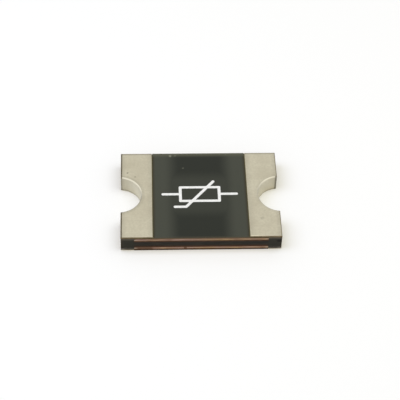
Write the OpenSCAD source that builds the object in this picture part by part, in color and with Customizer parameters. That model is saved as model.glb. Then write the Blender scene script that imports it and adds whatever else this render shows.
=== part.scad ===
// Surface-mount resettable fuse: a polymer element between two copper electrode foils,
// covered by insulation, with plated half-round terminals at both ends.
// All lengths are in millimetres. The part lies on its solder pads: z = 0 is the board,
// x runs from the left terminal to the right one, and the origin is the middle of the footprint.

/* [Body] */
// Length between the two end faces
body_length = 4.55; // [4.37:0.01:4.73]
// Width between the two sawn long sides
body_width = 3.24; // [3.07:0.01:3.41]

/* [Laminate] */
// Thickness of the conductive polymer core
core_thickness = 0.27; // [0.15:0.01:0.5]
// Thickness of each electrode foil
foil_thickness = 0.075; // [0.03:0.005:0.1]
// Thickness of the insulation that covers each foil
cover_thickness = 0.03; // [0.02:0.005:0.1]
// Distance from each end face over which the foils are etched away
foil_setback = 0.38; // [0.2:0.01:0.5]
// Width of the foil land that joins each foil to the wall of its own terminal
foil_land = 0.1; // [0.05:0.01:0.2]
// Width of the etched ring that keeps a foil clear of the opposite terminal
isolation_gap = 0.25; // [0.15:0.01:0.4]

/* [Terminals] */
// Length of each solder pad along the part
pad_length = 0.9; // [0.75:0.01:1.2]
// Thickness of each solder pad
pad_thickness = 0.035; // [0.025:0.005:0.06]
// Radius of the rounded outer edges of the pads
pad_edge_radius = 0.025; // [0.005:0.005:0.025]
// Radius of the finished half-round notch
notch_radius = 0.66; // [0.4:0.01:0.7]
// Distance of the notch centre beyond the end face, lost to the saw
notch_offset = 0.07; // [0:0.01:0.15]
// Thickness of the plated wall of the notch
wall_thickness = 0.04; // [0.03:0.005:0.06]
// Radius of the rim where the notch wall turns over onto the pads
rim_radius = 0.03; // [0.01:0.005:0.03]

/* [Solder mask] */
// Depth of the mask's face below the faces of the pads
mask_recess = 0.005; // [0.005:0.001:0.01]
// Open gap between the mask and each pad
mask_gap = 0.025; // [0.01:0.005:0.05]
// Distance from each long side over which the mask's face rolls off
mask_roll = 0.1; // [0.05:0.01:0.2]
// How far the mask's face drops at the long sides
mask_drop = 0.012; // [0.005:0.001:0.015]

/* [Hidden] */
$fn = 96;

// Height of each face of the stack above the board
core_low = pad_thickness + cover_thickness + foil_thickness;
core_high = core_low + core_thickness;
foil_high = core_high + foil_thickness;
cover_high = foil_high + cover_thickness;
total_thickness = cover_high + pad_thickness;
mask_high = total_thickness - mask_recess;

// Drilled hole that each notch is half of, before its wall is plated
hole_radius = notch_radius + wall_thickness;
hole_x = body_length / 2 + notch_offset;
foil_length = body_length - 2 * foil_setback;
mask_length = body_length - 2 * (pad_length + mask_gap);
// Radius of the arc that drops by mask_drop over mask_roll
mask_arc_radius = (mask_roll ^ 2 + mask_drop ^ 2) / (2 * mask_drop);
// How far a cutting shape reaches past the faces that it cuts
overcut = total_thickness;

// A plain layer of the laminate, centred on the footprint
module layer(length, low, high, width = body_width) {
    translate([-length / 2, -width / 2, low])
        cube([length, width, high - low]);
}

// A round cut through the whole stack at one end, -1 on the left and 1 on the right
module end_hole(end, radius) {
    translate([end * hole_x, 0, -overcut])
        cylinder(r = radius, h = total_thickness + 2 * overcut);
}

// A bar along x, centred on the footprint, with a profile drawn in y and z
module bar_along_x(length) {
    translate([-length / 2, 0, 0])
        rotate([90, 0, 90])
            linear_extrude(length)
                children();
}

// A bar along y, centred on the footprint, with a profile drawn in x and z
module bar_along_y(length) {
    translate([0, length / 2, 0])
        rotate([90, 0, 0])
            linear_extrude(length)
                children();
}

// The mate of an upper or left piece, turned end for end about the middle of the part
module turned_over() {
    translate([0, 0, total_thickness])
        rotate([0, 180, 0])
            children();
}

// Etched foil: its land meets the left terminal's wall, and a clear ring keeps it off the right one
module foil_shape(low, high, overhang = 0) {
    difference() {
        union() {
            layer(foil_length, low, high, body_width + 2 * overhang);
            intersection() {
                layer(body_length + 2 * overhang, low, high);
                end_hole(-1, hole_radius + foil_land);
            }
        }
        end_hole(-1, hole_radius);
        end_hole(1, hole_radius + isolation_gap);
    }
}

// Conductive polymer sheet that trips when it heats up
module ptc_core() {
    color("#2b2a28")
        difference() {
            layer(body_length, core_low, core_high);
            for (end = [-1, 1])
                end_hole(end, hole_radius);
        }
}

// Copper electrode bonded to the core
module foil() {
    color("#a8775a")
        foil_shape(core_high, foil_high);
}

// Resin-bonded glass sheet: it covers the foil and fills the places where the foil is etched away
module insulation() {
    color("#3a3428")
        difference() {
            layer(body_length, core_high, cover_high);
            for (end = [-1, 1])
                end_hole(end, hole_radius);
            foil_shape(core_high - overcut, foil_high, overcut);
        }
}

// Section of the whole part across one direction, with its four edges rounded
module rounded_section(breadth) {
    inner = breadth / 2 - pad_edge_radius;
    difference() {
        translate([-breadth / 2, 0])
            square([breadth, total_thickness]);
        for (side = [-1, 1], level = [0, 1])
            translate([side * breadth / 2, level * total_thickness])
                square(2 * pad_edge_radius, center = true);
    }
    for (side = [-1, 1], height = [pad_edge_radius, total_thickness - pad_edge_radius])
        translate([side * inner, height])
            circle(r = pad_edge_radius);
}

// Profile of the notch wall, from its inside to the drilled hole, with rounded rims
module wall_profile() {
    intersection() {
        translate([notch_radius, 0])
            square([wall_thickness, total_thickness]);
        union() {
            translate([notch_radius, rim_radius])
                square([wall_thickness, total_thickness - 2 * rim_radius]);
            translate([notch_radius + rim_radius, 0])
                square([wall_thickness, total_thickness]);
            for (height = [rim_radius, total_thickness - rim_radius])
                translate([notch_radius + rim_radius, height])
                    circle(r = rim_radius);
        }
    }
}

// Left pads and the whole plated wall of the hole, before the edges are rounded and the end is sawn
module plated_end() {
    for (low = [0, cover_high])
        difference() {
            translate([-body_length / 2, -body_width / 2, low])
                cube([pad_length, body_width, pad_thickness]);
            end_hole(-1, hole_radius);
        }
    translate([-hole_x, 0, 0])
        rotate_extrude()
            wall_profile();
}

// Tinned terminal: a pad above, a pad below and the plated half-round wall that joins them
module terminal() {
    color("#c4bea6")
        intersection() {
            plated_end();
            bar_along_x(body_length)
                rounded_section(body_width);
            bar_along_y(body_width)
                rounded_section(body_length);
        }
}

// Section of the mask across the part: flat in the middle, rolling off towards the long sides
module mask_section() {
    flat = body_width - 2 * mask_roll;
    intersection() {
        translate([-body_width / 2, cover_high])
            square([body_width, mask_high - cover_high]);
        union() {
            translate([-flat / 2, cover_high])
                square([flat, mask_high - cover_high]);
            for (side = [-1, 1])
                translate([side * flat / 2, mask_high - mask_arc_radius])
                    circle(r = mask_arc_radius);
        }
    }
}

// Dark solder mask film between the pads
module mask() {
    color("#373934")
        bar_along_x(mask_length)
            mask_section();
}

ptc_core();
foil();  // upper_foil
turned_over() foil();  // lower_foil
insulation();  // upper_insulation
turned_over() insulation();  // lower_insulation
terminal();  // left_terminal
turned_over() terminal();  // right_terminal
mask();  // upper_mask
turned_over() mask();  // lower_mask
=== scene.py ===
import math

import bmesh
import bpy
from mathutils import Matrix, Vector, geometry, noise


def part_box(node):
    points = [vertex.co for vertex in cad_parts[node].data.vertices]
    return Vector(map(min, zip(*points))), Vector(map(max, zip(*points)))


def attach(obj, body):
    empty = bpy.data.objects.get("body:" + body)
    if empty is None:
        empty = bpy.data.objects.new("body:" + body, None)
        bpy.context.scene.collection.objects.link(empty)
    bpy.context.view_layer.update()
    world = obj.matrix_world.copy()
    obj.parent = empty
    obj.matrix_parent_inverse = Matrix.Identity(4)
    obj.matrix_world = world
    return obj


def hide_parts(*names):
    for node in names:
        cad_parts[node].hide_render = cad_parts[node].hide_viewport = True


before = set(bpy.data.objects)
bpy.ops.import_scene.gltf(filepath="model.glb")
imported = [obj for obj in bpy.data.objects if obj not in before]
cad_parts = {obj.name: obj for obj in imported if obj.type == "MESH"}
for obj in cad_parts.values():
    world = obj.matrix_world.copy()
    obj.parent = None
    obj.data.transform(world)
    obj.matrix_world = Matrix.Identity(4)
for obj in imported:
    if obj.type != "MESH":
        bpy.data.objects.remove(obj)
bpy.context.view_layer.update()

# Polymer core
# A pressed sheet of polyethylene filled with carbon black: the element that trips when it heats up.
# It is drilled together with the rest of the laminate, and a dicing saw cuts its long sides and ends.
MILLIMETRE = 0.001
notch_offset = 0.07
hole_radius = 0.70
hole_steps = 64
saw_relief = 0.004
sharp_angle = math.radians(40)


def in_millimetres(node):
    """Lowest and highest corner of a solid, in millimetres."""
    low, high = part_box(node)
    return low / MILLIMETRE, high / MILLIMETRE


core_low, core_high = in_millimetres("ptc_core")
foil_low, foil_high = in_millimetres("upper_foil")
middle = Vector((0, 0, (core_low.z + core_high.z) / 2))
end_x = core_high.x
side_y = core_high.y
foil_x = foil_high.x
notch_x = end_x + notch_offset


def opening(radius, x):
    """Half angle at which a circle round a drilled hole's centre reaches the plane at that x."""
    return math.acos((notch_x - x) / radius)


def hole_arc(bm, end, radius, first, last, height, steps):
    """Vertices round the hole at one end, -1 or 1; the angles open towards the part's far side."""
    start = bm.verts.new((end * (notch_x - radius * math.cos(first)), radius * math.sin(first), height))
    centre = (end * notch_x, 0, height)
    bmesh.ops.spin(bm, geom=[start], cent=centre, axis=(0, 0, 1), angle=-end * (last - first), steps=steps)
    return [start] + list(bm.verts)[-steps:]


def notch_edge(bm, end, radius, x, height):
    """Edge of a hole that the end face cuts open, from the near side of the part to the far side."""
    reach = opening(radius, x)
    return hole_arc(bm, end, radius, -reach, reach, height, hole_steps)


def moved_copy(bm, faces, step):
    """Extrudes faces by a step and gives the new faces; none is left inside a solid that they belong to."""
    edges = list(dict.fromkeys(edge for face in faces for edge in face.edges))
    made = bmesh.ops.extrude_face_region(bm, geom=faces + edges)["geom"]
    bmesh.ops.translate(bm, verts=[g for g in made if isinstance(g, bmesh.types.BMVert)], vec=step)
    return [g for g in made if isinstance(g, bmesh.types.BMFace)]


def make_piece(name, bm, *materials):
    """Writes a mesh drawn in millimetres to an object in metres, with its sharp edges kept sharp."""
    bmesh.ops.scale(bm, vec=(MILLIMETRE, MILLIMETRE, MILLIMETRE), verts=bm.verts)
    for face in bm.faces:
        face.smooth = True
    mesh = bpy.data.meshes.new(name)
    bm.to_mesh(mesh)
    bm.free()
    mesh.set_sharp_from_angle(angle=sharp_angle)
    for material in materials:
        mesh.materials.append(material)
    piece = bpy.data.objects.new(name, mesh)
    bpy.context.scene.collection.objects.link(piece)
    return piece


def linear(colour):
    """Linear RGBA of an sRGB hex colour."""
    channels = [int(colour[place:place + 2], 16) / 255 for place in (1, 3, 5)]
    return [c / 12.92 if c <= 0.04045 else ((c + 0.055) / 1.055) ** 2.4 for c in channels] + [1.0]


def add_node(tree, kind, sockets, **settings):
    """Adds a node and gives its outputs; a socket takes a value or the output that feeds it."""
    node = tree.nodes.new(kind)
    for name, value in settings.items():
        setattr(node, name, value)
    for socket, value in sockets.items():
        if isinstance(value, bpy.types.NodeSocket):
            tree.links.new(value, node.inputs[socket])
        else:
            node.inputs[socket].default_value = value
    return node.outputs


def new_material(name):
    """A material with its node tree, its shader and the place on the part in millimetres."""
    material = bpy.data.materials.new(name)
    material.use_nodes = True
    tree = material.node_tree
    place = add_node(tree, "ShaderNodeTexCoord", {})["Object"]
    place = add_node(tree, "ShaderNodeMapping", {"Vector": place, "Scale": (1 / MILLIMETRE,) * 3})["Vector"]
    return material, tree, tree.nodes["Principled BSDF"], place


# Carbon-filled polyethylene, sawn: nearly black and dull, with the blade's fine lines along the cut, a brown
# bloom of copper dust close to the foils, greyer ends beyond them, brown corners, and one small pit by the
# near right corner. The lines are drawn 0.03 mm apart, so that they show.
saw_lines = (4, 4, 33)
dust_free = 0.05
end_stain = (end_x - 0.085, end_x - 0.025)
pit_place = (end_x - 0.085, -side_y, core_high.z - 0.04)
pit_size = 0.10
polymer, tree, shader, place = new_material("sawn_carbon_polymer")
drawn = add_node(tree, "ShaderNodeMapping", {"Vector": place, "Scale": saw_lines})["Vector"]
lines = add_node(tree, "ShaderNodeTexNoise", {"Vector": drawn, "Scale": 1.0, "Detail": 3.0})["Fac"]
lines = add_node(tree, "ShaderNodeMapRange", {"Value": lines, "From Min": 0.35, "From Max": 0.65})["Result"]
tint = add_node(tree, "ShaderNodeMix", {0: lines, 6: linear("#2a2722"), 7: linear("#363129")},
                data_type="RGBA")[2]
axes = add_node(tree, "ShaderNodeSeparateXYZ", {"Vector": place})
across = add_node(tree, "ShaderNodeMath", {0: axes["X"]}, operation="ABSOLUTE")["Value"]
off_middle = add_node(tree, "ShaderNodeMath", {0: axes["Z"], 1: middle.z}, operation="SUBTRACT")["Value"]
off_middle = add_node(tree, "ShaderNodeMath", {0: off_middle}, operation="ABSOLUTE")["Value"]
bloom = add_node(tree, "ShaderNodeMapRange", {"Value": off_middle, "From Min": dust_free,
                 "From Max": core_high.z - middle.z, "To Max": 0.9},
                 interpolation_type="SMOOTHSTEP")["Result"]
by_foil = add_node(tree, "ShaderNodeMapRange", {"Value": across, "From Min": foil_x + 0.035,
                   "From Max": foil_x - 0.045})["Result"]
bloom = add_node(tree, "ShaderNodeMath", {0: bloom, 1: by_foil}, operation="MULTIPLY")["Value"]
tint = add_node(tree, "ShaderNodeMix", {0: bloom, 6: tint, 7: linear("#4a301d")}, data_type="RGBA")[2]
grey_end = add_node(tree, "ShaderNodeMapRange", {"Value": across, "From Min": foil_x - 0.025,
                    "From Max": foil_x + 0.045, "To Max": 0.7})["Result"]
tint = add_node(tree, "ShaderNodeMix", {0: grey_end, 6: tint, 7: linear("#35352c")}, data_type="RGBA")[2]
corner = add_node(tree, "ShaderNodeMapRange", {"Value": across, "From Min": end_stain[0],
                  "From Max": end_stain[1], "To Max": 0.35})["Result"]
tint = add_node(tree, "ShaderNodeMix", {0: corner, 6: tint, 7: linear("#3f3325")}, data_type="RGBA")[2]
away = add_node(tree, "ShaderNodeVectorMath", {0: place, 1: pit_place}, operation="DISTANCE")["Value"]
pit = add_node(tree, "ShaderNodeMapRange", {"Value": away, "From Min": pit_size, "From Max": 0.3 * pit_size,
               "To Max": 0.75}, interpolation_type="SMOOTHSTEP")["Result"]
tint = add_node(tree, "ShaderNodeMix", {0: pit, 6: tint, 7: linear("#14110d")}, data_type="RGBA")[2]
tree.links.new(tint, shader.inputs["Base Color"])
bump = add_node(tree, "ShaderNodeBump", {"Height": lines, "Distance": 0.003 * MILLIMETRE})["Normal"]
tree.links.new(bump, shader.inputs["Normal"])
shader.inputs["Roughness"].default_value = 0.6
shader.inputs["Specular IOR Level"].default_value = 0.1

bm = bmesh.new()
core_x = end_x - saw_relief
core_y = side_y - saw_relief
outline = [bm.verts.new((x, -core_y, core_low.z)) for x in (-core_x, core_x)]
outline += notch_edge(bm, 1, hole_radius, core_x, core_low.z)
outline += [bm.verts.new((x, core_y, core_low.z)) for x in (core_x, -core_x)]
outline += reversed(notch_edge(bm, -1, hole_radius, core_x, core_low.z))
moved_copy(bm, [bm.faces.new(outline)], (0, 0, core_high.z - core_low.z))
bmesh.ops.recalc_face_normals(bm, faces=bm.faces)
core = make_piece("polymer_core", bm, polymer)
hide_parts("ptc_core")
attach(core, "root")

# Electrode foils
# Copper foil pressed onto both faces of the core and etched: each has a land round the plated hole that
# it feeds, a clear ring round the other hole, and corners kept back from the end faces. The saw bares its
# edges along both sides and drags a thin, ragged burr of copper down from each of them.
foil_land = 0.10
isolation_gap = 0.25
arc_steps = 16
burr_steps = 120
burr_raggedness = 0.003
core_burr = 0.04
under_low = in_millimetres("lower_foil")[0]
pad_low, pad_high = in_millimetres("left_terminal")


def etched_plan(bm, x, y, height):
    """Outlines of an upper foil and of the three places where its copper is etched away."""
    land_radius = hole_radius + foil_land
    land = (opening(land_radius, foil_x), opening(land_radius, x))
    near_land = hole_arc(bm, -1, land_radius, -land[0], -land[1], height, arc_steps)
    far_land = hole_arc(bm, -1, land_radius, land[0], land[1], height, arc_steps)
    left_hole = notch_edge(bm, -1, hole_radius, x, height)
    right_hole = notch_edge(bm, 1, hole_radius, x, height)
    clear_ring = notch_edge(bm, 1, hole_radius + isolation_gap, foil_x, height)
    near = [bm.verts.new((px, -y, height)) for px in (-x, -foil_x, foil_x, x)]
    far = [bm.verts.new((px, y, height)) for px in (-x, -foil_x, foil_x, x)]
    copper = near[1:3] + clear_ring + [far[2], far[1]] + far_land + left_hole[::-1] + near_land[::-1]
    bare = [near[2:4] + right_hole + [far[3], far[2]] + clear_ring[::-1]]
    bare += [[far[1], far[0]] + far_land[::-1], [near[0], near[1]] + near_land]
    return copper, bare


def turn_over(bm):
    """Turns an upper piece end for end into the lower one."""
    bmesh.ops.rotate(bm, verts=bm.verts, cent=middle, matrix=Matrix.Rotation(math.pi, 3, "Y"))


def add_burr(bm, side, top, bottom):
    """A thin copper lip on one long side, -1 or 1, from a foil's lower edge down to its ragged end."""
    before = len(bm.faces)
    made = bmesh.ops.create_grid(bm, x_segments=burr_steps, y_segments=1, size=foil_x)["verts"]
    bmesh.ops.rotate(bm, verts=made, cent=(0, 0, 0), matrix=Matrix.Rotation(math.pi / 2, 3, "X"))
    for vert in made:
        ragged = burr_raggedness * noise.noise((vert.co.x * 9, side * 5, top * 50))
        vert.co.z = top if vert.co.z > 0 else bottom + ragged
        vert.co.y = side * side_y
    lip = list(bm.faces)[before:]
    moved_copy(bm, lip, (0, -side * saw_relief, 0))
    for face in list(bm.faces)[before:]:
        face.material_index = 1


def foil_mesh(lower):
    """An etched foil with a burr along each of its long sides."""
    bm = bmesh.new()
    copper, bare = etched_plan(bm, end_x, side_y, foil_low.z)
    moved_copy(bm, [bm.faces.new(copper)], (0, 0, foil_high.z - foil_low.z))
    bmesh.ops.delete(bm, geom=[v for v in bm.verts if not v.link_faces], context="VERTS")
    if lower:
        turn_over(bm)
    for side in (-1, 1):
        if lower:
            add_burr(bm, side, under_low.z, pad_low.z + burr_raggedness)
        else:
            add_burr(bm, side, foil_low.z, foil_low.z - core_burr)
    bmesh.ops.recalc_face_normals(bm, faces=bm.faces)
    return bm


# Copper, sawn and left bare: dull warm brown, streaked along the cut, with a painted highlight along a line
# in its middle, which turns from rose to gold with its patina, painted glints at its two tips, and painted
# light that makes it brighter towards the bottom. The blade has smeared resin over the left end of the lower
# foil's near edge and nicked its line once.
cut_streaks = (2.5, 2.5, 40)
upper_highlight_z = foil_low.z + 0.036
lower_highlight_z = under_low.z + 0.025
lower_highlight_half = 0.026
smear_ends = (-1.35, -1.42)
nick_x = -0.45
nick_half = 0.04
copper, tree, shader, place = new_material("sawn_copper_foil")
drawn = add_node(tree, "ShaderNodeMapping", {"Vector": place, "Scale": cut_streaks})["Vector"]
streaks = add_node(tree, "ShaderNodeTexNoise", {"Vector": drawn, "Scale": 1.0, "Detail": 3.0})["Fac"]
axes = add_node(tree, "ShaderNodeSeparateXYZ", {"Vector": place})
across = add_node(tree, "ShaderNodeMath", {0: axes["X"]}, operation="ABSOLUTE")["Value"]
taper = add_node(tree, "ShaderNodeMapRange", {"Value": across, "From Min": foil_x - 0.095,
                 "From Max": foil_x, "To Min": 0.034, "To Max": 0.014})["Result"]
# Painted highlight: the brightest colour runs along a line in the middle of each foil's cut edge
upper_highlight = add_node(tree, "ShaderNodeMath", {0: axes["Z"], 1: upper_highlight_z, 2: taper},
                      operation="COMPARE")["Value"]
lower_highlight = add_node(tree, "ShaderNodeMath", {0: axes["Z"], 1: lower_highlight_z, 2: lower_highlight_half},
                      operation="COMPARE")["Value"]
line = add_node(tree, "ShaderNodeMath", {0: upper_highlight, 1: lower_highlight}, operation="MAXIMUM")["Value"]
share = add_node(tree, "ShaderNodeMapRange", {"Value": streaks, "From Min": 0.3,
                 "From Max": 0.62})["Result"]
share = add_node(tree, "ShaderNodeMath", {0: share, 1: line}, operation="MULTIPLY")["Value"]
patina = add_node(tree, "ShaderNodeTexNoise", {"Vector": place, "Scale": 1 / 0.8, "Detail": 1.0})["Fac"]
patina = add_node(tree, "ShaderNodeMapRange", {"Value": patina, "From Min": 0.4, "From Max": 0.6})["Result"]
highlight_colour = add_node(tree, "ShaderNodeMix", {0: patina, 6: linear("#a3897a"), 7: linear("#a88e69")},
                  data_type="RGBA")[2]
tint = add_node(tree, "ShaderNodeMix", {0: share, 6: linear("#725545"), 7: highlight_colour}, data_type="RGBA")[2]
smear = add_node(tree, "ShaderNodeMapRange", {"Value": axes["X"], "From Min": smear_ends[0],
                 "From Max": smear_ends[1]})["Result"]
nick = add_node(tree, "ShaderNodeMath", {0: axes["X"], 1: nick_x, 2: nick_half}, operation="COMPARE")["Value"]
smear = add_node(tree, "ShaderNodeMath", {0: smear, 1: nick}, operation="MAXIMUM")["Value"]
for axis, limit in (("Y", 0.0), ("Z", middle.z)):
    within = add_node(tree, "ShaderNodeMath", {0: axes[axis], 1: limit}, operation="LESS_THAN")["Value"]
    smear = add_node(tree, "ShaderNodeMath", {0: smear, 1: within}, operation="MULTIPLY")["Value"]
tint = add_node(tree, "ShaderNodeMix", {0: smear, 6: tint, 7: linear("#654d3d")}, data_type="RGBA")[2]
# Painted glints: the highlight line turns pale at its two tips
tip_glint = add_node(tree, "ShaderNodeMapRange", {"Value": across, "From Min": foil_x - 0.115,
               "From Max": foil_x - 0.045, "To Max": 0.34})["Result"]
tip_glint = add_node(tree, "ShaderNodeMath", {0: tip_glint, 1: line}, operation="MULTIPLY")["Value"]
tint = add_node(tree, "ShaderNodeMix", {0: tip_glint, 6: tint, 7: linear("#beb19c")}, data_type="RGBA")[2]
end_fade = add_node(tree, "ShaderNodeMapRange", {"Value": across, "From Min": foil_x - 0.055,
                    "From Max": foil_x, "To Max": 0.8})["Result"]
off_line = add_node(tree, "ShaderNodeMath", {0: 1.0, 1: line}, operation="SUBTRACT")["Value"]
end_fade = add_node(tree, "ShaderNodeMath", {0: end_fade, 1: off_line}, operation="MULTIPLY")["Value"]
tint = add_node(tree, "ShaderNodeMix", {0: end_fade, 6: tint, 7: linear("#3a2f24")}, data_type="RGBA")[2]
# Painted light: the copper is made up to 1.2 times brighter towards the bottom of the part
lower_painted_light = add_node(tree, "ShaderNodeMapRange", {"Value": axes["Z"], "From Min": core_high.z,
                "From Max": core_low.z, "To Min": 1.0, "To Max": 1.2})["Result"]
tint = add_node(tree, "ShaderNodeVectorMath", {0: tint, "Scale": lower_painted_light}, operation="SCALE")["Vector"]
tree.links.new(tint, shader.inputs["Base Color"])
bump = add_node(tree, "ShaderNodeBump", {"Height": streaks, "Distance": 0.002 * MILLIMETRE})["Normal"]
tree.links.new(bump, shader.inputs["Normal"])
shader.inputs["Metallic"].default_value = 1.0
shader.inputs["Roughness"].default_value = 0.45

# Copper dragged thin by the blade and tarnished: dark red brown, dull, with painted shade darkening its foot
# on the board
burr_streaks = (6, 6, 40)
burr_shaded_foot = (0.035, 0.01)
burr_copper, tree, shader, place = new_material("tarnished_copper_burr")
drawn = add_node(tree, "ShaderNodeMapping", {"Vector": place, "Scale": burr_streaks})["Vector"]
streaks = add_node(tree, "ShaderNodeTexNoise", {"Vector": drawn, "Scale": 1.0, "Detail": 3.0})["Fac"]
share = add_node(tree, "ShaderNodeMapRange", {"Value": streaks, "From Min": 0.35,
                 "From Max": 0.65})["Result"]
tint = add_node(tree, "ShaderNodeMix", {0: share, 6: linear("#452f22"), 7: linear("#624837")},
                data_type="RGBA")[2]
height = add_node(tree, "ShaderNodeSeparateXYZ", {"Vector": place})["Z"]
# Painted shade: darker towards the foot on the board
foot = add_node(tree, "ShaderNodeMapRange", {"Value": height, "From Min": burr_shaded_foot[0],
                "From Max": burr_shaded_foot[1], "To Min": 1.0, "To Max": 0.4})["Result"]
tint = add_node(tree, "ShaderNodeVectorMath", {0: tint, "Scale": foot}, operation="SCALE")["Vector"]
tree.links.new(tint, shader.inputs["Base Color"])
bump = add_node(tree, "ShaderNodeBump", {"Height": streaks, "Distance": 0.002 * MILLIMETRE})["Normal"]
tree.links.new(bump, shader.inputs["Normal"])
shader.inputs["Metallic"].default_value = 1.0
shader.inputs["Roughness"].default_value = 0.55

for name, lower in (("upper_foil", False), ("lower_foil", True)):
    foil = make_piece("copper_" + name, foil_mesh(lower), copper, burr_copper)
    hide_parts(name)
    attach(foil, "root")

# Insulation sheets
# Glass cloth in dark resin, pressed over the foils, so that resin also fills the etched places.
# It shows at the sawn corners and as a thin line between the mask and the pads.
cover_high = in_millimetres("upper_insulation")[1]
pad_inner = -pad_high.x


def insulation_mesh(lower):
    """A cover sheet together with the resin that fills the etched places under it."""
    bm = bmesh.new()
    copper, bare = etched_plan(bm, end_x - saw_relief, side_y - saw_relief, foil_high.z)
    over_copper = bm.faces.new(copper)
    fills = [bm.faces.new(outline) for outline in bare]
    moved_copy(bm, [over_copper] + fills, (0, 0, cover_high.z - foil_high.z))
    moved_copy(bm, fills, (0, 0, foil_low.z - foil_high.z))
    bmesh.ops.recalc_face_normals(bm, faces=bm.faces)
    if lower:
        turn_over(bm)
    return bm


def corner_wear(tree, axes):
    """How far a surface is worn, from 0 to 1 towards the four corners of the part."""
    across = add_node(tree, "ShaderNodeMath", {0: axes["X"]}, operation="ABSOLUTE")["Value"]
    along = add_node(tree, "ShaderNodeMath", {0: axes["Y"]}, operation="ABSOLUTE")["Value"]
    by_end = add_node(tree, "ShaderNodeMapRange", {"Value": across, "From Min": end_x - 0.155,
                      "From Max": end_x - 0.015})["Result"]
    by_side = add_node(tree, "ShaderNodeMapRange", {"Value": along, "From Min": side_y - 0.12,
                       "From Max": side_y - 0.02})["Result"]
    return add_node(tree, "ShaderNodeMath", {0: by_end, 1: by_side}, operation="MULTIPLY")["Value"]


# Glass-filled resin, sawn: dark olive brown, with paler ends of glass thread 0.1 mm long, and copper dust
# rubbed into the thin line of it above the upper foil. Beyond the foils it is paler just under the upper pads
# and close to the board, palest where the lower corners are worn, and painted light makes its shaded top
# between mask and pads pale.
thread_ends = (10, 10, 40)
dust_z = foil_high.z + 0.013
dust_half = 0.0155
worn_heights = (0.10, 0.05)
resin, tree, shader, place = new_material("sawn_glass_resin")
drawn = add_node(tree, "ShaderNodeMapping", {"Vector": place, "Scale": thread_ends})["Vector"]
threads = add_node(tree, "ShaderNodeTexNoise", {"Vector": drawn, "Scale": 1.0, "Detail": 2.0})["Fac"]
share = add_node(tree, "ShaderNodeMapRange", {"Value": threads, "From Min": 0.4,
                 "From Max": 0.75})["Result"]
tint = add_node(tree, "ShaderNodeMix", {0: share, 6: linear("#34322b"), 7: linear("#47433a")},
                data_type="RGBA")[2]
axes = add_node(tree, "ShaderNodeSeparateXYZ", {"Vector": place})
dust = add_node(tree, "ShaderNodeMath", {0: axes["Z"], 1: dust_z, 2: dust_half}, operation="COMPARE")["Value"]
within = add_node(tree, "ShaderNodeMath", {0: axes["X"], 1: 0.0, 2: foil_x}, operation="COMPARE")["Value"]
dust = add_node(tree, "ShaderNodeMath", {0: dust, 1: within}, operation="MULTIPLY")["Value"]
across = add_node(tree, "ShaderNodeMath", {0: axes["X"]}, operation="ABSOLUTE")["Value"]
by_pad = add_node(tree, "ShaderNodeMapRange", {"Value": across, "From Min": pad_inner - 0.045,
                  "From Max": pad_inner + 0.025})["Result"]
rubbed = add_node(tree, "ShaderNodeMix", {0: by_pad, 6: linear("#74624a"), 7: linear("#4b3a25")},
                  data_type="RGBA")[2]
tint = add_node(tree, "ShaderNodeMix", {0: dust, 6: tint, 7: rubbed}, data_type="RGBA")[2]
pale = add_node(tree, "ShaderNodeMapRange", {"Value": axes["Z"], "From Min": foil_low.z,
                "From Max": cover_high.z - 0.015})["Result"]
beyond = add_node(tree, "ShaderNodeMath", {0: across, 1: foil_x}, operation="GREATER_THAN")["Value"]
pale = add_node(tree, "ShaderNodeMath", {0: pale, 1: beyond}, operation="MULTIPLY")["Value"]
tint = add_node(tree, "ShaderNodeMix", {0: pale, 6: tint, 7: linear("#605a4d")}, data_type="RGBA")[2]
worn = add_node(tree, "ShaderNodeMapRange", {"Value": axes["Z"], "From Min": worn_heights[0],
                "From Max": worn_heights[1]})["Result"]
worn = add_node(tree, "ShaderNodeMath", {0: worn, 1: beyond}, operation="MULTIPLY")["Value"]
worn_tint = add_node(tree, "ShaderNodeMix", {0: corner_wear(tree, axes), 6: linear("#66625a"),
                     7: linear("#a09b90")}, data_type="RGBA")[2]
tint = add_node(tree, "ShaderNodeMix", {0: worn, 6: tint, 7: worn_tint}, data_type="RGBA")[2]
corner = add_node(tree, "ShaderNodeMapRange", {"Value": across, "From Min": end_stain[0],
                  "From Max": end_stain[1], "To Max": 0.35})["Result"]
tint = add_node(tree, "ShaderNodeMix", {0: corner, 6: tint, 7: linear("#3f3325")}, data_type="RGBA")[2]
# Painted light: the resin's top face, in the shaded slot between mask and pads, is made pale
slot_painted_light = add_node(tree, "ShaderNodeMath", {0: axes["Z"], 1: cover_high.z - 0.001},
                operation="GREATER_THAN")["Value"]
tint = add_node(tree, "ShaderNodeMix", {0: slot_painted_light, 6: tint, 7: linear("#6f694c")}, data_type="RGBA")[2]
tree.links.new(tint, shader.inputs["Base Color"])
bump = add_node(tree, "ShaderNodeBump", {"Height": threads, "Distance": 0.002 * MILLIMETRE})["Normal"]
tree.links.new(bump, shader.inputs["Normal"])
shader.inputs["Roughness"].default_value = 0.6
shader.inputs["Specular IOR Level"].default_value = 0.1

for name, lower in (("upper_insulation", False), ("lower_insulation", True)):
    sheet = make_piece("resin_" + name, insulation_mesh(lower), resin)
    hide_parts(name)
    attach(sheet, "root")

# Terminals
# Copper plated onto both faces and through the drilled hole, then tinned, and sawn through the hole:
# each end keeps a pad above, a pad below and half of the hole's wall.
notch_radius = 0.66
edge_radius = 0.028
inner_edge_radius = 0.010
edge_steps = 5
sawn_slope = 0.9
tolerance = 1e-4


def on_plane(edge, axis, value):
    """Whether both ends of an edge have that value on an axis."""
    return all(abs(v.co[axis] - value) < tolerance for v in edge.verts)


def on_notch(edge):
    """Whether an edge lies on the inside of the left hole's wall."""
    return all(abs(math.hypot(v.co.x + notch_x, v.co.y) - notch_radius) < tolerance for v in edge.verts)


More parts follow.
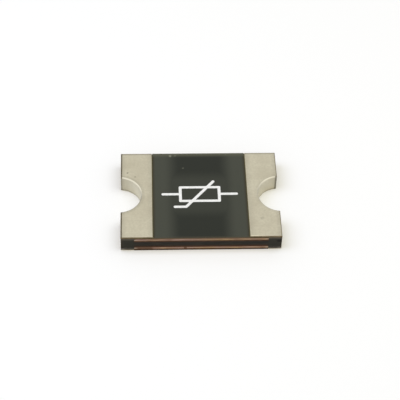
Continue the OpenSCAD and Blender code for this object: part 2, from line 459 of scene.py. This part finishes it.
def on_outer_edge(edge):
    """Whether an edge borders the left terminal at its sides, its end or its hole."""
    on_side = on_plane(edge, 1, -side_y) or on_plane(edge, 1, side_y)
    return on_notch(edge) or on_side or on_plane(edge, 0, pad_low.x)


def on_inner_edge(edge):
    """Whether an edge borders a left pad towards the mask."""
    return on_plane(edge, 0, pad_high.x)


def in_wall(face):
    """Whether a face belongs to the plated wall of the left hole."""
    return all(math.hypot(v.co.x + notch_x, v.co.y) < hole_radius + tolerance for v in face.verts)


def terminal_mesh(right):
    """Two pads and the wall between them, with round edges; the second material marks what the saw cut."""
    bm = bmesh.new()
    top = pad_high.z
    rim = notch_edge(bm, -1, notch_radius, end_x, top)
    barrel = notch_edge(bm, -1, hole_radius, end_x, top)
    chains = [bm.edges.get(pair) for line in (rim, barrel) for pair in zip(line, line[1:])]
    ring = bmesh.ops.bridge_loops(bm, edges=chains)["faces"]
    pad = [bm.verts.new((x, -side_y, top)) for x in (pad_low.x, pad_high.x)]
    pad += [bm.verts.new((x, side_y, top)) for x in (pad_high.x, pad_low.x)]
    pad = bm.faces.new(pad + barrel[::-1])
    under = moved_copy(bm, [pad] + ring, (0, 0, cover_high.z - top))
    ends = moved_copy(bm, [f for f in under if in_wall(f)], (0, 0, middle.z - cover_high.z))
    bmesh.ops.delete(bm, geom=ends, context="FACES_ONLY")
    everything = bm.verts[:] + bm.edges[:] + bm.faces[:]
    to_middle = Matrix.Translation(middle).inverted()
    bmesh.ops.mirror(bm, geom=everything, matrix=to_middle, merge_dist=tolerance, axis="Z")
    bmesh.ops.recalc_face_normals(bm, faces=bm.faces)
    for wanted, radius in ((on_outer_edge, edge_radius), (on_inner_edge, inner_edge_radius)):
        flat = [e for e in bm.edges if on_plane(e, 2, pad_low.z) or on_plane(e, 2, pad_high.z)]
        bmesh.ops.bevel(bm, geom=[e for e in flat if wanted(e)], offset=radius, offset_type="OFFSET",
                        affect="EDGES", segments=edge_steps, profile=0.5, material=-1)
    bmesh.ops.remove_doubles(bm, verts=bm.verts, dist=tolerance)
    bmesh.ops.dissolve_degenerate(bm, dist=tolerance, edges=bm.edges)
    for face in bm.faces:
        centre = face.calc_center_median()
        at_saw = max(-centre.x - end_x, abs(centre.y) - side_y) > -edge_radius
        steep = abs(face.normal.z) < sawn_slope and math.hypot(centre.x + notch_x, centre.y) > notch_radius
        face.material_index = 1 if at_saw and steep else 0
    if right:
        bmesh.ops.rotate(bm, verts=bm.verts, cent=(0, 0, 0), matrix=Matrix.Rotation(math.pi, 3, "Z"))
    return bm


def add_spots(tree, place, tint, spots, height, colour):
    """Paints ragged spots on an upper face; each has its x and y, its size and how strongly it shows."""
    stray = add_node(tree, "ShaderNodeTexNoise", {"Vector": place, "Scale": 1 / 0.05, "Detail": 2.0})["Color"]
    stray = add_node(tree, "ShaderNodeVectorMath", {0: stray, 1: (0.5, 0.5, 0.5)},
                     operation="SUBTRACT")["Vector"]
    stray = add_node(tree, "ShaderNodeVectorMath", {0: stray, 1: (0.08, 0.08, 0.0), 2: place},
                     operation="MULTIPLY_ADD")["Vector"]
    for x, y, size, strength in spots:
        away = add_node(tree, "ShaderNodeVectorMath", {0: stray, 1: (x, y, height)},
                        operation="DISTANCE")["Value"]
        spot = add_node(tree, "ShaderNodeMapRange", {"Value": away, "From Min": size, "From Max": size / 3,
                        "To Max": strength}, interpolation_type="SMOOTHSTEP")["Result"]
        tint = add_node(tree, "ShaderNodeMix", {0: spot, 6: tint, 7: linear(colour)}, data_type="RGBA")[2]
    return tint


# Matte electroplated tin: a warm grey metal, dull, with faint crystal grain, cloudy blotches, a few dark
# specks, and darker towards the mask. The crystals are far finer than the 0.06 mm grain that is drawn for
# them.
# Painted shade darkens the pads towards their ends, along their far, left and right edges and in a ring round
# the hole, and a painted highlight runs along their near edges. The wall of the hole is painted brighter,
# shows the drill's faint rings, and has a painted highlight on its far rim and painted shade on its near rim
# and along its foot. Painted cooler light tints the left wall most, and the saw has left a dark edge on the
# right one.
drill_rings = (3, 3, 30)
near_highlight_place = (pad_inner + 0.025, 0.02 - side_y, pad_high.z)
specks = ((-2.080, 0.837, 0.040, 0.70), (-1.858, 0.679, 0.040, 0.40),
          (1.755, -0.938, 0.075, 0.14), (1.715, -0.930, 0.050, 0.08))
tin, tree, shader, place = new_material("matte_tin_plating")
grain = add_node(tree, "ShaderNodeTexNoise", {"Vector": place, "Scale": 1 / 0.06, "Detail": 3.0})["Fac"]
clouds = add_node(tree, "ShaderNodeTexNoise", {"Vector": place, "Scale": 1 / 0.45, "Detail": 3.0})["Fac"]
share = add_node(tree, "ShaderNodeMapRange", {"Value": clouds, "From Min": 0.3, "From Max": 0.7})["Result"]
tint = add_node(tree, "ShaderNodeMix", {0: share, 6: linear("#bfb8a2"), 7: linear("#ccc6b0")},
                data_type="RGBA")[2]
share = add_node(tree, "ShaderNodeMapRange", {"Value": grain, "From Min": 0.35, "From Max": 0.75,
                 "To Max": 0.6})["Result"]
tint = add_node(tree, "ShaderNodeMix", {0: share, 6: tint, 7: linear("#b8b19b")}, data_type="RGBA")[2]
axes = add_node(tree, "ShaderNodeSeparateXYZ", {"Vector": place})
across = add_node(tree, "ShaderNodeMath", {0: axes["X"]}, operation="ABSOLUTE")["Value"]
inner = add_node(tree, "ShaderNodeMapRange", {"Value": across, "From Min": pad_inner + 0.205,
                 "From Max": pad_inner + 0.005, "To Min": 1.0, "To Max": 0.9},
                 interpolation_type="SMOOTHSTEP")["Result"]
# Painted shade towards the outer ends of the pads and along their far edge
outer = add_node(tree, "ShaderNodeMapRange", {"Value": across, "From Min": end_x - 0.175,
                 "From Max": end_x - 0.025, "To Min": 1.0, "To Max": 0.88},
                 interpolation_type="SMOOTHSTEP")["Result"]
far_rim = add_node(tree, "ShaderNodeMapRange", {"Value": axes["Y"], "From Min": side_y - 0.09,
                   "From Max": side_y - 0.02, "To Min": 1.0, "To Max": 0.6},
                   interpolation_type="SMOOTHSTEP")["Result"]
# Painted highlight along the near edge of the pads, strongest on the right pad by the mask
away = add_node(tree, "ShaderNodeVectorMath", {0: place, 1: near_highlight_place}, operation="DISTANCE")["Value"]
near_highlight = add_node(tree, "ShaderNodeMapRange", {"Value": away, "From Min": 0.45, "From Max": 0.05,
                   "To Min": 1.0, "To Max": 1.4})["Result"]
near_rim = add_node(tree, "ShaderNodeMapRange", {"Value": axes["Y"], "From Min": 0.07 - side_y,
                    "From Max": 0.03 - side_y, "To Min": 1.0, "To Max": near_highlight},
                    interpolation_type="SMOOTHSTEP")["Result"]
from_hole = add_node(tree, "ShaderNodeMath", {0: across, 1: notch_x}, operation="SUBTRACT")["Value"]
from_hole = add_node(tree, "ShaderNodeCombineXYZ", {"X": from_hole, "Y": axes["Y"]})["Vector"]
from_hole = add_node(tree, "ShaderNodeVectorMath", {0: from_hole}, operation="LENGTH")["Value"]
wall = add_node(tree, "ShaderNodeMapRange", {"Value": from_hole, "From Min": hole_radius - 0.005,
                "From Max": hole_radius - 0.017})["Result"]
# Painted shade along the outer left and right edges of the pads, lighter where they meet the wall
left_end = add_node(tree, "ShaderNodeMapRange", {"Value": wall, "To Min": 0.12, "To Max": 0.6})["Result"]
left_rim = add_node(tree, "ShaderNodeMapRange", {"Value": axes["X"], "From Min": 0.05 - end_x,
                    "From Max": 0.025 - end_x, "To Min": 1.0, "To Max": left_end},
                    interpolation_type="SMOOTHSTEP")["Result"]
right_end = add_node(tree, "ShaderNodeMapRange", {"Value": wall, "To Min": 0.75, "To Max": 1.0})["Result"]
right_rim = add_node(tree, "ShaderNodeMapRange", {"Value": axes["X"], "From Min": end_x - 0.04,
                     "From Max": end_x - 0.013, "To Min": 1.0, "To Max": right_end},
                     interpolation_type="SMOOTHSTEP")["Result"]
on_left = add_node(tree, "ShaderNodeMath", {0: axes["X"], 1: 0.0}, operation="LESS_THAN")["Value"]
# Painted shade in a ring round each hole, stronger on the left
ring_gain = add_node(tree, "ShaderNodeMapRange", {"Value": on_left, "To Min": 0.96, "To Max": 0.88})["Result"]
ring = add_node(tree, "ShaderNodeMapRange", {"Value": from_hole, "From Min": hole_radius + 0.10,
                "From Max": hole_radius + 0.01, "To Min": 1.0, "To Max": ring_gain},
                interpolation_type="SMOOTHSTEP")["Result"]
# Painted light: the wall of the hole is made brighter, more so lower down and towards the inside of the hole
wall_gain = add_node(tree, "ShaderNodeMapRange", {"Value": axes["Z"], "From Min": pad_high.z - 0.05,
                     "From Max": pad_low.z + 0.1, "To Min": 1.08, "To Max": 1.2})["Result"]
deep_gain = add_node(tree, "ShaderNodeMapRange", {"Value": on_left, "To Min": 1.04, "To Max": 1.10})["Result"]
open_gain = add_node(tree, "ShaderNodeMapRange", {"Value": on_left, "To Min": 0.93, "To Max": 0.85})["Result"]
wall_side = add_node(tree, "ShaderNodeMapRange", {"Value": across, "From Min": end_x - 0.475,
                     "From Max": end_x - 0.175, "To Min": deep_gain, "To Max": open_gain})["Result"]
wall_gain = add_node(tree, "ShaderNodeMath", {0: wall_gain, 1: wall_side}, operation="MULTIPLY")["Value"]
right_burr = add_node(tree, "ShaderNodeMapRange", {"Value": axes["X"], "From Min": end_x - 0.07,
                      "From Max": end_x - 0.035, "To Min": 1.0, "To Max": 0.40})["Result"]
rim = add_node(tree, "ShaderNodeMapRange", {"Value": axes["Z"], "From Min": pad_high.z - 0.045,
               "From Max": pad_high.z - 0.025})["Result"]
# Painted highlight on the far part of each hole's top rim, and painted shade on its near part
facing = add_node(tree, "ShaderNodeMath", {0: axes["X"], 1: -0.08, 2: axes["Y"]},
                  operation="MULTIPLY_ADD")["Value"]
near_rim_shade = add_node(tree, "ShaderNodeMapRange", {"Value": on_left, "To Min": 0.92, "To Max": 0.72})["Result"]
rim_highlight_and_shade = add_node(tree, "ShaderNodeMapRange", {"Value": facing, "From Min": 0.0, "From Max": 0.36,
                    "To Min": near_rim_shade, "To Max": 1.46})["Result"]
wall_gain = add_node(tree, "ShaderNodeMix", {0: rim, 2: wall_gain, 3: rim_highlight_and_shade})[0]
wall_gain = add_node(tree, "ShaderNodeMath", {0: wall_gain, 1: right_burr}, operation="MULTIPLY")["Value"]
# Painted shade along the foot of the wall, by the board
foot = add_node(tree, "ShaderNodeMapRange", {"Value": axes["Z"], "From Min": pad_low.z + 0.1,
                "From Max": pad_low.z + 0.02, "To Min": 1.0, "To Max": 0.7},
                interpolation_type="SMOOTHSTEP")["Result"]
wall_gain = add_node(tree, "ShaderNodeMath", {0: wall_gain, 1: foot}, operation="MULTIPLY")["Value"]
round_hole = add_node(tree, "ShaderNodeMix", {0: wall, 2: ring, 3: wall_gain})[0]
# Painted cooler light: the wall and its rim are tinted a more neutral grey, the left wall most
cool_light = add_node(tree, "ShaderNodeMapRange", {"Value": across, "From Min": end_x - 0.125,
                 "From Max": end_x - 0.475, "To Min": 0.2})["Result"]
cool_light = add_node(tree, "ShaderNodeMath", {0: cool_light, 1: rim}, operation="MAXIMUM")["Value"]
cool_light_side = add_node(tree, "ShaderNodeMapRange", {"Value": on_left, "To Min": 0.6, "To Max": 1.0})["Result"]
for within in (wall, cool_light_side):
    cool_light = add_node(tree, "ShaderNodeMath", {0: cool_light, 1: within}, operation="MULTIPLY")["Value"]
tint = add_node(tree, "ShaderNodeMix", {0: cool_light, 6: tint, 7: linear("#c2beae")}, data_type="RGBA")[2]
depth = 1.0
for part in (inner, outer, left_rim, right_rim, far_rim, near_rim, round_hole):
    depth = add_node(tree, "ShaderNodeMath", {0: depth, 1: part}, operation="MULTIPLY")["Value"]
tint = add_node(tree, "ShaderNodeVectorMath", {0: tint, "Scale": depth}, operation="SCALE")["Vector"]
tint = add_spots(tree, place, tint, specks, pad_high.z, "#4a4438")
tree.links.new(tint, shader.inputs["Base Color"])
rough = add_node(tree, "ShaderNodeMapRange", {"Value": grain, "From Min": 0.3, "From Max": 0.7,
                 "To Min": 0.36, "To Max": 0.44})["Result"]
tree.links.new(rough, shader.inputs["Roughness"])
drawn = add_node(tree, "ShaderNodeMapping", {"Vector": place, "Scale": drill_rings})["Vector"]
rings = add_node(tree, "ShaderNodeTexNoise", {"Vector": drawn, "Scale": 1.0, "Detail": 2.0})["Fac"]
relief = add_node(tree, "ShaderNodeMix", {0: wall, 2: grain, 3: rings})[0]
bump = add_node(tree, "ShaderNodeBump", {"Height": relief, "Distance": 0.001 * MILLIMETRE})["Normal"]
tree.links.new(bump, shader.inputs["Normal"])
shader.inputs["Metallic"].default_value = 1.0

# Plating cut open by the saw: dull copper, smeared with tin, paler along its foot on the board, where the
# worn corners show grey tin
plating_smears = (8, 8, 25)
plating_foot = (0.05, 0.02)
cut_plating, tree, shader, place = new_material("sawn_plating")
drawn = add_node(tree, "ShaderNodeMapping", {"Vector": place, "Scale": plating_smears})["Vector"]
smear = add_node(tree, "ShaderNodeTexNoise", {"Vector": drawn, "Scale": 1.0, "Detail": 3.0})["Fac"]
share = add_node(tree, "ShaderNodeMapRange", {"Value": smear, "From Min": 0.4, "From Max": 0.65})["Result"]
tint = add_node(tree, "ShaderNodeMix", {0: share, 6: linear("#675a42"), 7: linear("#827459")},
                data_type="RGBA")[2]
axes = add_node(tree, "ShaderNodeSeparateXYZ", {"Vector": place})
near_board = add_node(tree, "ShaderNodeMapRange", {"Value": axes["Z"], "From Min": plating_foot[0],
                      "From Max": plating_foot[1]})["Result"]
foot = add_node(tree, "ShaderNodeMapRange", {"Value": near_board, "To Min": 1.0, "To Max": 1.3})["Result"]
tint = add_node(tree, "ShaderNodeVectorMath", {0: tint, "Scale": foot}, operation="SCALE")["Vector"]
worn = add_node(tree, "ShaderNodeMath", {0: corner_wear(tree, axes), 1: near_board},
                operation="MULTIPLY")["Value"]
tint = add_node(tree, "ShaderNodeMix", {0: worn, 6: tint, 7: linear("#cac6bc")}, data_type="RGBA")[2]
tree.links.new(tint, shader.inputs["Base Color"])
bump = add_node(tree, "ShaderNodeBump", {"Height": smear, "Distance": 0.002 * MILLIMETRE})["Normal"]
tree.links.new(bump, shader.inputs["Normal"])
shader.inputs["Metallic"].default_value = 1.0
shader.inputs["Roughness"].default_value = 0.5

for name, right in (("left_terminal", False), ("right_terminal", True)):
    terminal = make_piece("tinned_" + name, terminal_mesh(right), tin, cut_plating)
    even = terminal.modifiers.new("even_shading", "WEIGHTED_NORMAL")
    even.keep_sharp = True
    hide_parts(name)
    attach(terminal, "root")

# Solder mask
# Dark epoxy screened between the pads on both faces and baked: smooth, half glossy, and thinner where it
# rolls off at the sawn long sides.
mask_roll = 0.10
mask_drop = 0.006
mask_edge = 0.006
mask_edge_steps = 3
mask_low, mask_high = in_millimetres("upper_mask")


def mask_mesh(lower):
    """A film drawn as its section across the part, then drawn out along the part."""
    bm = bmesh.new()
    side = side_y - saw_relief
    flat = side - mask_roll
    radius = (mask_roll ** 2 + mask_drop ** 2) / (2 * mask_drop)
    sweep = math.asin(mask_roll / radius)
    x = mask_low.x
    section = [bm.verts.new((x, -side, mask_low.z))]
    for start, y in (((x, -side, mask_high.z - mask_drop), -flat), ((x, flat, mask_high.z), flat)):
        first = bm.verts.new(start)
        centre = (x, y, mask_high.z - radius)
        bmesh.ops.spin(bm, geom=[first], cent=centre, axis=(1, 0, 0), angle=-sweep, steps=arc_steps)
        section += [first] + list(bm.verts)[-arc_steps:]
    section.append(bm.verts.new((x, side, mask_low.z)))
    moved_copy(bm, [bm.faces.new(section)], (mask_high.x - mask_low.x, 0, 0))
    bmesh.ops.recalc_face_normals(bm, faces=bm.faces)
    ends = [e for e in bm.edges if on_plane(e, 0, mask_low.x) or on_plane(e, 0, mask_high.x)]
    upper = [e for e in ends if min(v.co.z for v in e.verts) > mask_low.z + tolerance]
    bmesh.ops.bevel(bm, geom=upper, offset=mask_edge, offset_type="OFFSET", affect="EDGES",
                    segments=mask_edge_steps, profile=0.5, material=-1)
    if lower:
        turn_over(bm)
    return bm


# Baked epoxy solder mask: nearly black with an olive cast, half glossy, with a painted reflection that makes
# it paler towards the pads, painted shade along the pads' edges, paler round the print, a painted reflection
# in a pale strip along the far side, browner in a narrow one along the near side, and a few flecks of dust
# under it
sheen_ends = (0.55, 1.05)
print_band = (0.95, 0.50)
flecks = ((-0.828, 1.515, 0.060, 0.50), (-0.680, 1.520, 0.045, 0.25), (-0.457, 1.024, 0.035, 0.25))
mask_paint, tree, shader, place = new_material("dark_solder_mask")
axes = add_node(tree, "ShaderNodeSeparateXYZ", {"Vector": place})
across = add_node(tree, "ShaderNodeMath", {0: axes["X"]}, operation="ABSOLUTE")["Value"]
along = add_node(tree, "ShaderNodeMath", {0: axes["Y"]}, operation="ABSOLUTE")["Value"]
# Painted reflection: paler towards the pads, with a paler band round the print as well
thin = add_node(tree, "ShaderNodeMapRange", {"Value": across, "From Min": sheen_ends[0],
                "From Max": sheen_ends[1]}, interpolation_type="SMOOTHSTEP")["Result"]
middle_band = add_node(tree, "ShaderNodeMapRange", {"Value": along, "From Min": print_band[0],
                       "From Max": print_band[1], "To Max": 0.5}, interpolation_type="SMOOTHSTEP")["Result"]
thin = add_node(tree, "ShaderNodeMath", {0: thin, 1: middle_band}, operation="MAXIMUM")["Value"]
tint = add_node(tree, "ShaderNodeMix", {0: thin, 6: linear("#1a1d14"), 7: linear("#3a3c32")},
                data_type="RGBA")[2]
# Painted shade: darker olive along the mask's edges by the pads
border_shade = add_node(tree, "ShaderNodeMapRange", {"Value": across, "From Min": mask_high.x - 0.09,
                  "From Max": mask_high.x - 0.01}, interpolation_type="SMOOTHSTEP")["Result"]
tint = add_node(tree, "ShaderNodeMix", {0: border_shade, 6: tint, 7: linear("#322f20")}, data_type="RGBA")[2]
# Painted reflection: a pale strip along the far side
far_reflection = add_node(tree, "ShaderNodeMapRange", {"Value": axes["Y"], "From Min": side_y - 0.19,
                     "From Max": side_y - 0.02}, interpolation_type="SMOOTHSTEP")["Result"]
tint = add_node(tree, "ShaderNodeMix", {0: far_reflection, 6: tint, 7: linear("#4f4f3f")}, data_type="RGBA")[2]
near_strip = add_node(tree, "ShaderNodeMapRange", {"Value": axes["Y"], "From Min": 0.06 - side_y,
                      "From Max": 0.01 - side_y, "To Max": 0.45})["Result"]
tint = add_node(tree, "ShaderNodeMix", {0: near_strip, 6: tint, 7: linear("#453f2e")}, data_type="RGBA")[2]
tint = add_spots(tree, place, tint, flecks, mask_high.z, "#8c8c7a")
tree.links.new(tint, shader.inputs["Base Color"])
peel = add_node(tree, "ShaderNodeTexNoise", {"Vector": place, "Scale": 1 / 0.12, "Detail": 2.0})["Fac"]
bump = add_node(tree, "ShaderNodeBump", {"Height": peel, "Distance": 0.0008 * MILLIMETRE})["Normal"]
tree.links.new(bump, shader.inputs["Normal"])
shader.inputs["Roughness"].default_value = 0.42
shader.inputs["Specular IOR Level"].default_value = 0.25

for name, lower in (("upper_mask", False), ("lower_mask", True)):
    film = make_piece("epoxy_" + name, mask_mesh(lower), mask_paint)
    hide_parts(name)
    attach(film, "root")

# Printed mark
# White epoxy ink, pad-printed on the mask and baked: a plain circuit symbol for a temperature-dependent
# resistor, drawn with one pen width and round stroke ends.
ink_height = 0.004
pen_radius = 0.042
ink_merge = 0.002
flat_angle = math.radians(0.5)
box_x = 0.56
box_y = 0.26
lead_x = 1.06
slash_x = 0.40
slash_y = 0.48
foot_x = 0.72
symbol = [
    ((-box_x, -box_y), (box_x, -box_y)),
    ((-box_x, box_y), (box_x, box_y)),
    ((-box_x, -box_y), (-box_x, box_y)),
    ((box_x, -box_y), (box_x, box_y)),
    ((-lead_x, 0.0), (-box_x, 0.0)),
    ((box_x, 0.0), (lead_x, 0.0)),
    ((-slash_x, -slash_y), (slash_x, slash_y)),
    ((-foot_x, -slash_y), (-slash_x, -slash_y)),
]


def stroke_outline(bm, start, finish):
    """Vertices round a bar with round ends, drawn in millimetres on the mask's face."""
    direction = Vector(finish) - Vector(start)
    side = Vector((-direction.y, direction.x)).normalized() * pen_radius
    outline = []
    for end, offset in ((start, side), (finish, -side)):
        first = bm.verts.new((end[0] + offset.x, end[1] + offset.y, mask_high.z))
        centre = (end[0], end[1], mask_high.z)
        bmesh.ops.spin(bm, geom=[first], cent=centre, axis=(0, 0, 1), angle=math.pi, steps=arc_steps)
        outline += [first] + list(bm.verts)[-arc_steps:]
    return outline


def symbol_mesh():
    """The strokes joined into one flat shape and raised by the thickness of the ink."""
    bm = bmesh.new()
    outlines = [stroke_outline(bm, start, finish) for start, finish in symbol]
    bm.verts.index_update()
    points = [vert.co.xy for vert in bm.verts]
    loops = [[vert.index for vert in outline] for outline in outlines]
    bm.clear()
    inside = 1
    plan = geometry.delaunay_2d_cdt(points, [], loops, inside, tolerance)
    places, triangles, owners = plan[0], plan[2], plan[5]
    verts = [bm.verts.new((place.x, place.y, mask_high.z)) for place in places]
    for triangle, strokes in zip(triangles, owners):
        if strokes:
            bm.faces.new([verts[index] for index in triangle])
    bmesh.ops.delete(bm, geom=[v for v in bm.verts if not v.link_faces], context="VERTS")
    bmesh.ops.remove_doubles(bm, verts=bm.verts, dist=ink_merge)
    bmesh.ops.dissolve_degenerate(bm, dist=ink_merge, edges=bm.edges)
    bmesh.ops.dissolve_limit(bm, angle_limit=flat_angle, verts=bm.verts, edges=bm.edges)
    moved_copy(bm, list(bm.faces), (0, 0, ink_height))
    bmesh.ops.recalc_face_normals(bm, faces=bm.faces)
    return bm


# White epoxy ink: bright, dull, a little uneven
ink, tree, shader, place = new_material("white_epoxy_ink")
cover = add_node(tree, "ShaderNodeTexNoise", {"Vector": place, "Scale": 1 / 0.08, "Detail": 2.0})["Fac"]
share = add_node(tree, "ShaderNodeMapRange", {"Value": cover, "From Min": 0.35, "From Max": 0.65})["Result"]
tint = add_node(tree, "ShaderNodeMix", {0: share, 6: linear("#e2e2df"), 7: linear("#f0f0ee")},
                data_type="RGBA")[2]
tree.links.new(tint, shader.inputs["Base Color"])
bump = add_node(tree, "ShaderNodeBump", {"Height": cover, "Distance": 0.001 * MILLIMETRE})["Normal"]
tree.links.new(bump, shader.inputs["Normal"])
shader.inputs["Roughness"].default_value = 0.55
mark = make_piece("printed_symbol", symbol_mesh(), ink)
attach(mark, "root")

# Floor, light and camera
# A white sweep under two soft boxes side by side, the right one warmer, as a small part is photographed.
# A third lamp shows only in reflections. The paper glows more where the lamps don't reach, so that it
# stays white up to its far edge.
floor_size = 0.6
shade = (0.70, 0.74, 0.84, 1)
glow = (0.26, 0.22, 0.11, 1)
far_glow = (0.73, 0.69, 0.58, 1)
lit_reach = 0.01
dark_reach = 0.09
bounce = (0.8, 0.8, 0.8, 1)


def seen_directly(tree):
    """1 where the camera, a reflection or a clear piece shows a surface, and 0 for its light on others."""
    ray = add_node(tree, "ShaderNodeLightPath", {})
    seen = ray["Is Camera Ray"]
    for other in ("Is Glossy Ray", "Is Transmission Ray"):
        seen = add_node(tree, "ShaderNodeMath", {0: seen, 1: ray[other]}, operation="MAXIMUM")["Value"]
    return seen


bm = bmesh.new()
bmesh.ops.create_grid(bm, x_segments=1, y_segments=1, size=floor_size / 2 / MILLIMETRE)
paper = bpy.data.materials.new("white_paper")
paper.use_nodes = True
tree = paper.node_tree
tree.nodes.remove(tree.nodes["Principled BSDF"])
shaded = add_node(tree, "ShaderNodeBsdfDiffuse", {"Color": shade})["BSDF"]
place = add_node(tree, "ShaderNodeTexCoord", {})["Object"]
reach = add_node(tree, "ShaderNodeVectorMath", {0: place}, operation="LENGTH")["Value"]
reach = add_node(tree, "ShaderNodeMapRange", {"Value": reach, "From Min": lit_reach, "From Max": dark_reach},
                 interpolation_type="SMOOTHSTEP")["Result"]
glowing = add_node(tree, "ShaderNodeMix", {0: reach, 6: glow, 7: far_glow}, data_type="RGBA")[2]
shining = add_node(tree, "ShaderNodeEmission", {"Color": glowing, "Strength": 1.0})["Emission"]
shown = add_node(tree, "ShaderNodeAddShader", {0: shaded, 1: shining})["Shader"]
plain = add_node(tree, "ShaderNodeBsdfDiffuse", {"Color": bounce})["BSDF"]
surface = add_node(tree, "ShaderNodeMixShader", {0: seen_directly(tree), 1: plain, 2: shown})["Shader"]
tree.links.new(surface, tree.nodes["Material Output"].inputs["Surface"])
floor = make_piece("floor", bm, paper)

room_level = 0.5
world = bpy.data.worlds.new("white_room")
bpy.context.scene.world = world
world.use_nodes = True
tree = world.node_tree
level = add_node(tree, "ShaderNodeMapRange", {"Value": seen_directly(tree), "To Min": room_level,
                 "To Max": 1.0})["Result"]
tree.links.new(level, tree.nodes["Background"].inputs["Strength"])
tree.nodes["Background"].inputs["Color"].default_value = (1, 1, 1, 1)

lamp_height = 0.07
lamps = (("left_softbox", -0.06, 0.08, 0.045, 0.025, (1.0, 1.02, 1.24), False),
         ("right_softbox", 0.02, 0.08, 0.045, 0.025, (1.0, 0.985, 0.875), False),
         ("sheen", -0.02, 0.06, 0.06, 0.007, (1.0, 1.0, 1.0), True))
for name, x, width, length, power, colour, mirrored in lamps:
    lamp = bpy.data.objects.new(name, bpy.data.lights.new(name, "AREA"))
    lamp.data.shape = "RECTANGLE"
    lamp.data.size = width
    lamp.data.size_y = length
    lamp.data.energy = power
    lamp.data.color = colour
    lamp.location = (x, 0, lamp_height)
    lamp.visible_diffuse = not mirrored
    lamp.visible_glossy = mirrored
    bpy.context.scene.collection.objects.link(lamp)

photo_pixels = 400
focal_pixels = 1361.7
azimuth = math.radians(-3.397)
elevation = math.radians(48.602)
roll = math.radians(2.001)
distance = 0.0394186
aim = Vector((0, 0, 0.0002765))
shift_right = -0.0000129
shift_up = -0.0000066
back = Vector((math.sin(azimuth) * math.cos(elevation), -math.cos(azimuth) * math.cos(elevation),
               math.sin(elevation)))
level_right = Vector((0, 0, 1)).cross(back).normalized()
level_up = back.cross(level_right)
camera_right = math.cos(roll) * level_right + math.sin(roll) * level_up
camera_up = -math.sin(roll) * level_right + math.cos(roll) * level_up
camera = bpy.data.objects.new("camera", bpy.data.cameras.new("camera"))
camera.data.sensor_width = 36.0
camera.data.lens = focal_pixels / photo_pixels * camera.data.sensor_width
camera.data.clip_start = 0.001
camera.data.clip_end = 10.0
turn = Matrix((camera_right, camera_up, back)).transposed()
eye = aim - shift_right * camera_right - shift_up * camera_up + distance * back
camera.matrix_world = Matrix.Translation(eye) @ turn.to_4x4()
bpy.context.scene.collection.objects.link(camera)
bpy.context.scene.camera = camera
bpy.context.scene.view_settings.view_transform = "Standard"
